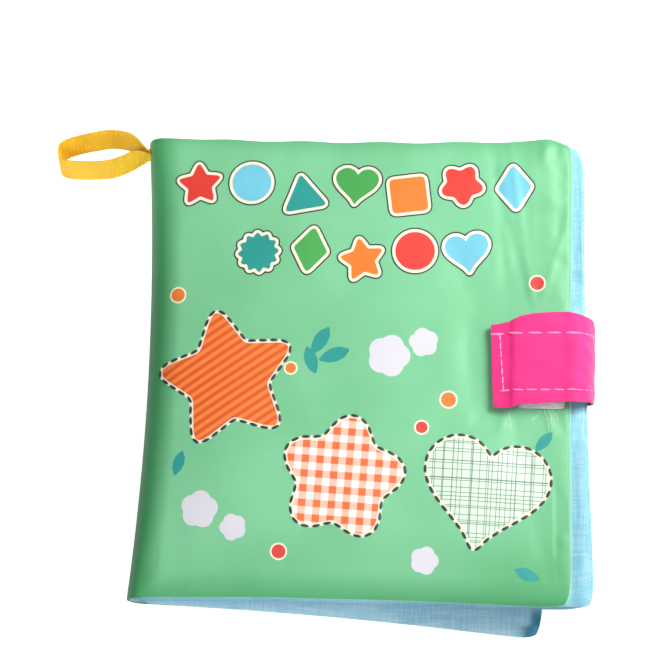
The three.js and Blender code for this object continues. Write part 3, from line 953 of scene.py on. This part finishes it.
# %% Strap path and plies
STRAP_STEPS, TAB_FROM, PLY_THICK = 120, 60, 0.5
SIDE_PATH = [(80.2, 1.65), (81.7, 2.15), (82.25, 3.65), (82.2, 13.7), (81.4, 19.5), (79.2, 23.9), (76.25, 25.85)]
TAB_PATH = [(76.25, 25.85), (71.6, 25.75), (65, 25.95), (57, 25.75), (54, 24.75), (51, 24.1), (47.3, 23.7)]
HEAD_EDGE = [
    (44, 13.9), (50, 14.6), (54, 15.4), (57.5, 17.2), (62, 18.2), (70, 18.9), (74, 18.9), (79, 17.8), (83, 17.5),
]
FOOT_EDGE = [
    (44, -14.0), (50, -14.8), (54.5, -15), (58, -13.7), (66, -13.2), (74, -12.6), (79, -12.5), (83, -12.5),
]


def smooth_line(points, steps):
    """A Catmull-Rom curve through points, as the solids' strips have."""
    points = np.array(points, float)
    padded = np.vstack([2 * points[0] - points[1], points, 2 * points[-1] - points[-2]])
    out = []
    for share in np.linspace(0, len(points) - 1, steps + 1):
        k = min(int(share), len(points) - 2)
        t = share - k
        a, b, c, d = padded[k:k + 4]
        curve = 2 * b + (c - a) * t + (2 * a - 5 * b + 4 * c - d) * t**2 + (3 * b - a - 3 * c + d) * t**3
        out.append(curve / 2)
    return np.array(out)


STRAP_LINE = smooth_line(SIDE_PATH + TAB_PATH[1:], STRAP_STEPS)
STRAP_RUN = np.gradient(STRAP_LINE, axis=0)
STRAP_RUN /= np.linalg.norm(STRAP_RUN, axis=1)[:, None]


def askew(z):
    """How far the strap's side is pulled towards the head on its way down."""
    return 0.15 * np.clip(26 - z, 0, 26)


def strap_ply(name, outward, side):
    part = slice(0, TAB_FROM + 1) if side else slice(TAB_FROM, STRAP_STEPS + 1)
    line, run = STRAP_LINE[part], STRAP_RUN[part]
    across = np.linspace(-1, 1, 33)[None, :]
    x0, z0 = line[:, :1], line[:, 1:]
    head = np.interp(x0, *zip(*HEAD_EDGE))
    foot = np.interp(x0, *zip(*FOOT_EDGE)) + (askew(z0) if side else 0)
    y = (head + foot) / 2 + (head - foot) / 2 * across
    wave = 0.10 * np.sin(y * 0.45 + x0 * 0.3) + 0.08 * np.sin(y * 0.9 - z0 * 0.7)
    rim = np.abs(across) ** 10
    rise = outward + wave * (1 - rim) - rim * (0.25 if outward > 0.3 else -0.15)
    x = x0 + run[:, 1:] * rise + (0 if side else 0.05 * (14 - y) * ramp(50 - x0, 3))
    piece = grid_of(name, x, y, z0 - run[:, :1] * rise, strap_pink)
    thicken(piece, PLY_THICK, 1)
    return piece


outer_plies = {}
for ply, outward in (("lining", 0.05), ("outer", 0.75)):
    side = strap_ply(f"strap_side_{ply}_ply", outward, True)
    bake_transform(side)
    finish_piece(side, [f"strap_side_{ply}"])
    tab = strap_ply(f"strap_tab_{ply}_ply", outward, False)
    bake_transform(tab)
    finish_piece(tab, [f"strap_tab_{ply}"])
    outer_plies = {"side": side, "tab": tab}

# %% Strap root and pads
ROOT_FOOT, ROOT_HEAD, PAD_THICK, PAD_FOLLOWS = -12.5, 17.5, 1.0, 0.75

x, y = np.meshgrid(np.linspace(65, 80.1, 16), np.linspace(ROOT_FOOT, ROOT_HEAD, 31))
y = y + askew(0) * (ROOT_HEAD - y) / (ROOT_HEAD - ROOT_FOOT)
strap_root = grid_of("strap_root_cloth", x, y, 1.28 + 0.28 * ramp(x - 77, 3) ** 2, strap_pink)
thicken(strap_root, PLY_THICK)
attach(strap_root, "back_cover")
finish_piece(strap_root, ["strap_root"])


def pad_piece(name, middle, size, lift, body, node):
    """A pad of hook tape, tufted on top, that follows the cover below it."""
    u, v = np.meshgrid(np.linspace(-1, 1, 31), np.linspace(-1, 1, 45))
    x = middle[0] + size[0] / 2 * u * (1 - 0.03 * np.abs(v) ** 8)
    y = middle[1] + size[1] / 2 * v * (1 - 0.03 * np.abs(u) ** 8)
    base = np.array([on_cover(a, b, 0)[2] for a, b in zip(x.flat, y.flat)]).reshape(x.shape)
    calm = np.minimum(base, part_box(node)[0].z / MM + PAD_FOLLOWS)
    tufts = 0.06 * np.sin(x * 5.1 + y) * np.sin(y * 4.7 - x)
    top = calm + lift + PAD_THICK + tufts - 0.12 * np.abs(u) ** 12 - 0.12 * np.abs(v) ** 12
    piece = grid_of(name, x, y, top, tape_white)
    thicken(piece, PAD_THICK)
    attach(piece, body)
    finish_piece(piece, [node])


pad_piece("loop_tape_pad", (65, -1.1), (16, 26.9), 0.25, "front_cover", "loop_pad")
pad_piece("hook_tape_pad", (65, -0.85), (14.4, 24.1), 1.5, "strap_tab", "hook_pad")

# %% [markdown]
# ## Topstitching
# A line of pale pink stitches runs along both edges of the strap and across its end. The stitch
# lines are laid on the finished cloth with rays. The side and the tab get their own rows, because
# each row has to move with its cloth. Each row of the tab has its own stitch length, longest along
# the head edge, as in the photograph.

# %% Strap topstitching
THREAD_LIFT, STITCH_GAP = 0.02, 0.15


def thread(name, pale, deep):
    return cloth(name, pale, deep, 0.0003, 0.6, 0.3, 0.2, 80, 0.2, 0.05)


def lay_line(tree, points, towards=(0, 0, -1), start=0.1):
    """Lays points on a cloth with rays and lifts them a little off it."""
    out, way = [], Vector(towards)
    for p in points:
        place, normal = tree.ray_cast(Vector(p) * MM - way * start, way)[:2]
        if place is not None:
            out.append(tuple((place + normal.normalized() * THREAD_LIFT * MM) / MM))
    return out


thread_pink = thread("pale_pink_thread", dyed(255, 160, 208), dyed(252, 140, 196))
depsgraph = bpy.context.evaluated_depsgraph_get()
side_tree, tab_tree = (BVHTree.FromObject(outer_plies[part], depsgraph) for part in ("side", "tab"))
tab_rows = (  # name, line, pitch, thread radius
    ("head", [(a, 11.0 + 0.016 * (a - 45), 25) for a in np.linspace(49.4, 75.6, 60)], 5.4, 0.4),
    ("foot", [(a, -9.0 + 0.02 * (a - 49), 25) for a in np.linspace(52.4, 75.6, 60)], 4.1, 0.3),
    ("end", [(51.8 - 0.08 * (b + 8), b, 25) for b in np.linspace(-8.2, 9.8, 40)], 3.0, 0.28),
)
for row, line, pitch, radius in tab_rows:
    laid = [lay_line(tab_tree, line)]
    stitches = sew(f"strap_tab_{row}_stitches", laid, thread_pink, pitch, pitch - STITCH_GAP, radius, 0.6)
    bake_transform(stitches)
side_lines = []
for level, follow in ((11.5, 0.25), (-8.5, 1)):
    line = [(a + 4, level + follow * askew(b), b + 2) for a, b in STRAP_LINE[6:TAB_FROM]]
    side_lines.append(lay_line(side_tree, line, (-0.894, 0, -0.447), 0.02))
side_stitches = sew(
    "strap_side_topstitch", side_lines, thread_pink, spacing=3.1, length=2.95, radius=0.3, flatness=0.6)
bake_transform(side_stitches)

# %% Pulled threads under the strap
PULLED_LIFT = 0.06
PULLED = (
    ((54, -17), (54.3, -21.5)), ((66, -15), (67.6, -21.5)), ((67.6, -15), (68.3, -19)),
    ((64.5, -15.5), (62.4, -18)), ((69, -15.2), (70.6, -17.8)),
)
thread_pale = thread("pale_pulled_thread", dyed(222, 250, 222), dyed(200, 238, 204))
share = np.linspace(0, 1, 14)
bow = 0.25 * np.sin(np.linspace(0, math.pi, 14))
pulled = []
for (x0, y0), (x1, y1) in PULLED:
    line = zip(x0 + (x1 - x0) * share + bow, y0 + (y1 - y0) * share)
    pulled.append([on_cover(a, b, PULLED_LIFT) for a, b in line])
pulled_threads = sew("pulled_threads", pulled, thread_pale, spacing=1.1, length=1.7, radius=0.12)
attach(pulled_threads, "front_cover")

# %% [markdown]
# ## The ribbon loop
# A short ribbon is folded to a loop and sewn into the spine near the head. It stands on its edge,
# so from above its two walls show with a gap between them. The walls lean, so both the inside of
# the far wall and the outside of the near one are seen. At its root it sinks a little and the seam
# gathers it.

# %% Ribbon
RIBBON_Y, RIBBON_REACH, RIBBON_GAP, RIBBON_TALL, RIBBON_LEAN, RIBBON_CLIMB = 79.1, 34.5, 12.6, 8.2, 4.4, 12.5
RIBBON_ROOT_X, RIBBON_SINK, RIBBON_GATHER, RIBBON_THICK, RIB_PITCH = -77.6, 2.0, 0.55, 0.5, 0.0009


def make_ribbon_cloth():
    """Grosgrain: ribs across the ribbon, spaced along its own length."""
    material = cloth(
        "yellow_grosgrain", dyed(250, 202, 32), dyed(240, 186, 20), 0.0004, 0.55, 0.2, 0.2, 60, 0.2, 0.04)
    tree = material.node_tree
    run = add_node(tree, "ShaderNodeUVMap", uv_map="ribbon_run").outputs[0]
    ribs = maths(tree, "SINE", times(tree, axes(tree, run)[0], 2 * math.pi / RIB_PITCH))
    paint(tree, Normal=bumped(tree, ribs, 0.5, 0.00025))
    return material


def ribbon_grid():
    angle = np.linspace(0, math.pi, 121)
    along, way = np.sin(angle), np.cos(angle)
    swell = np.sin(math.pi / 2 * np.minimum(along / 0.5, 1))
    half = 0.9 + (RIBBON_GAP / 2 - 0.9) * swell
    aside = half * np.sign(way) * np.abs(way) ** 0.5
    x = RIBBON_ROOT_X - RIBBON_REACH * along
    x = np.concatenate([[x[0] + 1.1], x, [x[-1] + 1.1]])[None, :]
    y = RIBBON_Y + np.concatenate([[aside[0]], aside, [aside[-1]]])[None, :]
    gathered = 1 - RIBBON_GATHER * (1 - ramp(RIBBON_ROOT_X - x, 6)) ** 1.5
    sink = RIBBON_SINK * (1 - gathered) / RIBBON_GATHER
    up = RIBBON_TALL / 2 - sink + np.linspace(-0.5, 0.5, 9)[:, None] * RIBBON_TALL * gathered
    rise = np.maximum((x - (RIBBON_ROOT_X - RIBBON_REACH)) / RIBBON_REACH * RIBBON_CLIMB, 0)
    bow = 0.25 * np.sin(up / RIBBON_TALL * math.pi) * np.sin(x * 0.35)
    return x + 0 * up, y + up * RIBBON_LEAN / RIBBON_TALL - RIBBON_LEAN / 2 + bow, up + rise


x, y, z = ribbon_grid()
ribbon = grid_of("ribbon_loop_cloth", x, y, z, make_ribbon_cloth())
run_length = np.concatenate([[0], np.cumsum(np.hypot(np.diff(x[0]), np.diff(y[0])))]) * MM
uv = ribbon.data.uv_layers.new(name="ribbon_run")
for loop in ribbon.data.loops:
    row, column = divmod(loop.vertex_index, x.shape[1])
    uv.data[loop.index].uv = (run_length[column], z[row, column] * MM)
thicken(ribbon, RIBBON_THICK)
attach(ribbon, "ribbon")
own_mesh(ribbon)
finish_piece(ribbon, ["ribbon_loop"])

# %% [markdown]
# ## The print
# The cover carries a playful print: two garlands of simple shapes, three large patches and small
# motifs between them. Each motif is a thin skin on the satin. Its outline is a polygon, rings run
# from its middle to the outline, and the last rings are the cream border and the ink line. A ray
# from above sets every point on the cloth, so the print follows the folds.

# %% Outlines
DIRECTIONS, PRINT_LIFT = 144, 0.07
TURNS = np.linspace(0, 2 * math.pi, DIRECTIONS, endpoint=False)


def around(reach, angle):
    """Points at a reach in each direction."""
    return np.stack([reach * np.cos(angle), reach * np.sin(angle)], 1)


def reach_around(points, margin):
    """How far an outline, widened by a margin, reaches in each direction from its middle."""
    way = around(1, TURNS)
    forward = points @ way.T
    aside = points[:, :1] * way[:, 1] - points[:, 1:] * way[:, 0]
    inside = (np.abs(aside) < margin) & (forward > 0)
    reach = forward + np.sqrt(np.maximum(margin**2 - aside**2, 0))
    return np.where(inside, reach, 0).max(0)


def along(corners, count=1600):
    """Close points along a closed outline."""
    closed = np.vstack([corners, corners[:1]])
    run = np.concatenate([[0], np.cumsum(np.hypot(*np.diff(closed, axis=0).T))])
    at = np.linspace(0, run[-1], count, endpoint=False)
    return np.stack([np.interp(at, run, closed[:, k]) for k in (0, 1)], 1)


def soften(reach, rounds):
    for _ in range(rounds):
        reach = (np.roll(reach, 1) + 2 * reach + np.roll(reach, -1)) / 4
    return reach


def from_corners(corners, rounds):
    return soften(reach_around(along(np.array(corners, float)), 0.02), rounds)


def star_corners(points, inner):
    angle = math.pi / 2 + np.arange(2 * points) * math.pi / points
    reach = np.where(np.arange(2 * points) % 2 == 0, 1.08, inner)
    return around(reach, angle)


def heart_corners():
    t = np.linspace(0, 2 * math.pi, 200, endpoint=False)
    x = 16 * np.sin(t) ** 3
    y = 13 * np.cos(t) - 5 * np.cos(2 * t) - 2 * np.cos(3 * t) - np.cos(4 * t)
    return np.stack([x, y + 3.5], 1) / 16


SHAPES = {
    "round": 0.92 + 0 * TURNS,
    "star": from_corners(star_corners(5, 0.56), 6),
    "heart": from_corners(heart_corners(), 3),
    "flower": 0.86 + 0.14 * np.cos(5 * TURNS),
    "square": from_corners([(0.82, -0.82), (0.82, 0.82), (-0.82, 0.82), (-0.82, -0.82)], 10),
    "kite": from_corners([(0.78, 0), (0, 1.1), (-0.78, 0), (0, -1.1)], 8),
    "tent": from_corners([(1.0, -0.72), (0, 1.0), (-1.0, -0.72)], 8),
    "sun": 0.88 + 0.08 * np.cos(12 * TURNS),
    "puff": 0.80 + 0.14 * np.abs(np.cos(2.5 * TURNS)),
    "leaf": from_corners([
        (1.05, 0), (0.5, 0.36), (0, 0.44), (-0.55, 0.32),
        (-1.05, 0), (-0.5, -0.32), (0, -0.44), (0.55, -0.36)], 4),
}
print("motifs", ", ".join(SHAPES))


# %% Printing a motif
def outline_at(reach, turn, middle):
    return around(reach, TURNS + math.radians(turn)) + middle


def widened(reach, by):
    return soften(reach_around(along(around(reach, TURNS), 2400), by), 1)


class Print:
    """Gathers motifs into one piece of print."""

    def __init__(self, name, materials):
        self.name, self.materials = name, materials
        self.points, self.faces, self.paint = [], [], []

    def add(self, shape, middle, size, turn, bands):
        """bands are (material number, outward reach in mm); the first fills the shape."""
        rim = SHAPES[shape] * size
        rings = max(3, int(size / 1.15))
        layers = [(rim * (k + 1) / rings, bands[0][0]) for k in range(rings)]
        margin = 0
        for number, by in bands[1:]:
            margin += by
            layers.append((widened(rim, margin), number))
        hub = len(self.points)
        self.points.append(on_cover(*middle, PRINT_LIFT))
        for level, (reach, number) in enumerate(layers):
            high = len(self.points)
            low = high - DIRECTIONS
            self.points += [on_cover(a, b, PRINT_LIFT) for a, b in outline_at(reach, turn, middle)]
            for k in range(DIRECTIONS):
                after = (k + 1) % DIRECTIONS
                ring = (low + k, high + k, high + after, low + after) if level else (hub, high + k, high + after)
                self.faces.append(ring)
                self.paint.append(number)

    def make(self):
        points = [(a * MM, b * MM, c * MM) for a, b, c in self.points]
        piece = object_of(self.name, points, self.faces, self.materials)
        piece.data.polygons.foreach_set("material_index", self.paint)
        thicken(piece, 0.05)
        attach(piece, "front_cover")
        print(self.name, "faces", len(piece.data.polygons))


# %% [markdown]
# ## Print colours
# Printed satin keeps the sheen of the cloth, so a print colour is the satin recipe in another dye.
# The three patches show traditional cloths: corduroy ridges, gingham checks and crosshatch. Each
# is a pattern of lines from the piece's own coordinates, turned a little with a Mapping node.

# %% Plain print colours
def printed(name, colour, deep=0.9):
    darker = tuple(c * deep for c in colour[:3]) + (1,)
    return cloth(name, colour, darker, 0.00022, 0.42, 0.12, 0.1, 40, 0.2, 0.03)


ink = printed("dark_ink", dyed(52, 58, 62))
cream = printed("cream_print", dyed(243, 240, 214), 0.95)
GARLAND_COLOURS = [
    printed("red_print", dyed(226, 62, 52)), printed("light_blue_print", dyed(118, 202, 226)),
    printed("teal_print", dyed(42, 158, 150)), printed("leaf_green_print", dyed(74, 170, 84)),
    printed("orange_print", dyed(238, 130, 48)),
]
lilac = printed("lilac_print", dyed(222, 221, 230), 0.94)


# %% Patterned print colours
LINE_WIDTH = 0.0006


def ruled(tree, coordinate, pitch, shift):
    """Thin lines across a coordinate: 1 on a line, 0 between the lines."""
    angle = maths(tree, "ADD", times(tree, coordinate, math.pi / pitch), shift)
    wave = maths(tree, "ABSOLUTE", maths(tree, "SINE", angle))
    return maths(tree, "SUBTRACT", 1.3, times(tree, wave, 1.3 * pitch / LINE_WIDTH), clamp=True)


def banded(tree, coordinate, pitch, sharpness):
    """Bands across a coordinate, 1 and 0 in turn."""
    wave = maths(tree, "SINE", times(tree, coordinate, 2 * math.pi / pitch))
    return maths(tree, "ADD", times(tree, wave, sharpness), 0.5, clamp=True)


def patterned(name, first, second, turn, style, pitch):
    """style is ridges, checks or hatch."""
    material = printed(name, first)
    tree = material.node_tree
    inputs = {"Vector": own_place(tree), "Rotation": (0, 0, math.radians(turn))}
    parts = axes(tree, add_node(tree, "ShaderNodeMapping", inputs).outputs[0])[:2]
    if style == "ridges":
        share = banded(tree, parts[0], pitch, 1.5)
    elif style == "checks":
        share = times(tree, maths(tree, "ADD", *(banded(tree, part, pitch, 6) for part in parts)), 0.5)
    else:
        share = 0
        for part, by in [(part, by) for part in parts for by in (1, 1.63, 2.2)]:
            share = maths(tree, "MAXIMUM", share, ruled(tree, part, by * pitch, by))
    paint(tree, Base_Color=blend_colours(tree, share, first, second))
    return material


corduroy = patterned("orange_corduroy_print", dyed(250, 132, 60), dyed(226, 92, 34), 55, "ridges", 0.0027)
gingham = patterned("orange_gingham_print", dyed(252, 246, 234), dyed(236, 112, 56), 3, "checks", 0.0051)
crosshatch = patterned("mint_crosshatch_print", dyed(218, 242, 218), dyed(92, 130, 110), 2, "hatch", 0.0031)
print("print colours", len(bpy.data.materials))

# %% [markdown]
# ## Laying out the print
# Two garlands hang across the upper half, each on a sagging line, with shapes turned this way and
# that. The patches sit below, left, middle and right, and the strap covers none of them.

# %% Garlands
MOTIF_SIZE, CREAM_WIDTH, INK_WIDTH = 7.5, 1.1, 0.5


def garland(name, kinds, first_x, step, level, sag, first_colour):
    """A row of motifs on a sagging line, each filled, with a cream border and an ink line."""
    sheet, kinds = Print(name, GARLAND_COLOURS + [cream, ink]), kinds.split()
    middle = first_x + step * (len(kinds) - 1) / 2
    for k, kind in enumerate(kinds):
        x = first_x + step * k
        y = level + sag * ((x - middle) / (step * len(kinds) / 2)) ** 2 + (1.6 if k % 2 else -1.2)
        turn = (-1) ** k * (5 + 3 * (k % 3))
        bands = [((k + first_colour) % 5, 0), (5, CREAM_WIDTH), (6, INK_WIDTH)]
        sheet.add(kind, (x, y), MOTIF_SIZE, turn, bands)
    sheet.make()


garland("printed_garland_upper", "star round tent heart square flower kite", -57, 18.6, 62, 5, 0)
garland("printed_garland_lower", "sun kite star round heart", -35, 18.4, 38.5, 3.5, 2)


# %% Patches and small motifs
PATCH_BORDER, DASHES_AT, DASH_LIFT, DOT_BORDER = 1.3, 0.9, 0.12, 0.6


def patch(name, shape, middle, size, turn, material):
    """A patch of cloth with a cream border and dashes of ink on it."""
    sheet = Print(name, [material, cream, ink])
    sheet.add(shape, middle, size, turn, [(0, 0), (1, PATCH_BORDER)])
    sheet.make()
    dashed = outline_at(widened(SHAPES[shape] * size, DASHES_AT), turn, middle)
    line = [on_cover(a, b, DASH_LIFT) for a, b in dashed]
    dashes = sew(f"{name}_dashes", [line + line[:1]], ink, spacing=3.8, length=3.0, radius=0.55, flatness=0.3)
    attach(dashes, "front_cover")


patch("printed_star_patch", "star", (-44, -6), 23.5, 12, corduroy)
patch("printed_flower_patch", "flower", (-3, -40), 21, 8, gingham)
patch("printed_heart_patch", "heart", (45.5, -47), 20.5, -10, crosshatch)
red, _, teal, _, orange = GARLAND_COLOURS
small = Print("printed_small_motifs", [lilac, teal, orange, red, cream, ink])
PUFFS = ((12, 3, 8, 0), (24, 8, 5.5, 30), (-52, -52, 7, 10), (-40, -58, 5, 40), (26, -68, 5.2, 0))
LEAVES = (
    (-12, 8, 5.5, 60), (-7, 3, 5.5, 20), (-15, 1, 5, 110), (66, -26, 4.2, 50), (61, -72, 4.5, 160),
    (-60, -36, 4.4, 75),
)
DOTS = (
    (33, -12, 2.8, 2), (-24, -66, 2.6, 3), (24, -22, 2.2, 3), (-63, 24, 2.6, 2), (63, 30, 2.6, 3),
    (-22, -2, 2.0, 2),
)
for shape, number, motifs in (("puff", 0, PUFFS), ("leaf", 1, LEAVES)):
    for x, y, size, turn in motifs:
        small.add(shape, (x, y), size, turn, [(number, 0)])
for x, y, size, colour in DOTS:
    small.add("round", (x, y), size, 0, [(colour, 0), (4, DOT_BORDER)])
small.make()

# %% [markdown]
# ## Floor
# The floor is a large pale sheet under the book. It gives part of its own white to the camera, so
# it reads as white while the shadow under the book stays.

# %% Floor
FLOOR_GLOW = 0.74

floor_white, tree = new_material("floor_white")
seen = add_node(tree, "ShaderNodeLightPath").outputs["Is Camera Ray"]
paint(tree, Base_Color=(0.9, 0.9, 0.9, 1), Roughness=0.9)
paint(tree, Emission_Color=(1, 1, 1, 1), Emission_Strength=times(tree, seen, FLOOR_GLOW))
floor = object_of("floor", [(-3, -3, 0), (3, -3, 0), (3, 3, 0), (-3, 3, 0)], [(0, 1, 2, 3)], [floor_white])
floor.location.z = -0.0003
print("floor made")
